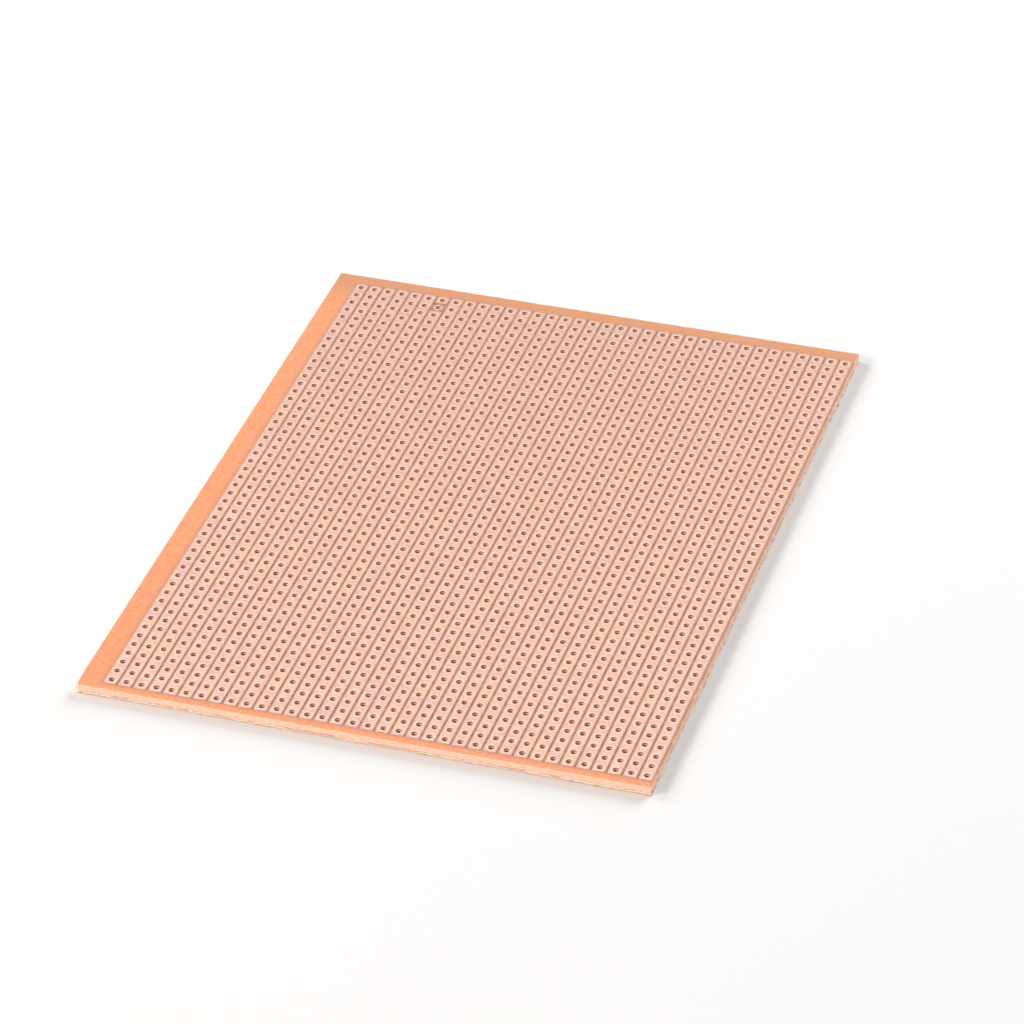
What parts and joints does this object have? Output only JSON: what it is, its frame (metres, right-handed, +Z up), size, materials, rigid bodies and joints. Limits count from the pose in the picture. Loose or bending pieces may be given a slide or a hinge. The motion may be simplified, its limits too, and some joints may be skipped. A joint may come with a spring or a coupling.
{
  "type": "prototype board",
  "caption": "Single-sided copper strip board: parallel copper strips on a thin phenolic laminate, drilled right through on one square grid.",
  "frame": {"origin": "middle of the board's underside, on the surface that it lies on", "axes": "+Z up out of the copper side, +Y along the strips towards the end with the reference pad, +X across the strips towards the narrow margin"},
  "size_m": [0.0958, 0.1312, 0.0016],
  "materials": {
    "laminate": "satin",
    "copper": "matte"
  },
  "bodies": {
    "root": {"laminate": "laminate", "track_01": "copper", "track_02": "copper", "track_03": "copper", "track_04": "copper", "track_05": "copper", "track_06": "copper", "track_07": "copper", "track_08": "copper", "track_09": "copper", "track_10": "copper", "track_11": "copper", "track_12": "copper", "track_13": "copper", "track_14": "copper", "track_15": "copper", "track_16": "copper", "track_17": "copper", "track_18": "copper", "track_19": "copper", "track_20": "copper", "track_21": "copper", "track_22": "copper", "track_23": "copper", "track_24": "copper", "track_25": "copper", "track_26": "copper", "track_27": "copper", "track_28": "copper", "track_29": "copper", "track_30": "copper", "track_31": "copper", "track_32": "copper", "track_33": "copper", "track_34": "copper", "track_35": "copper", "track_36": "copper", "reference_pad": "copper", "track_end_piece": "copper"}
  },
  "joints": []
}
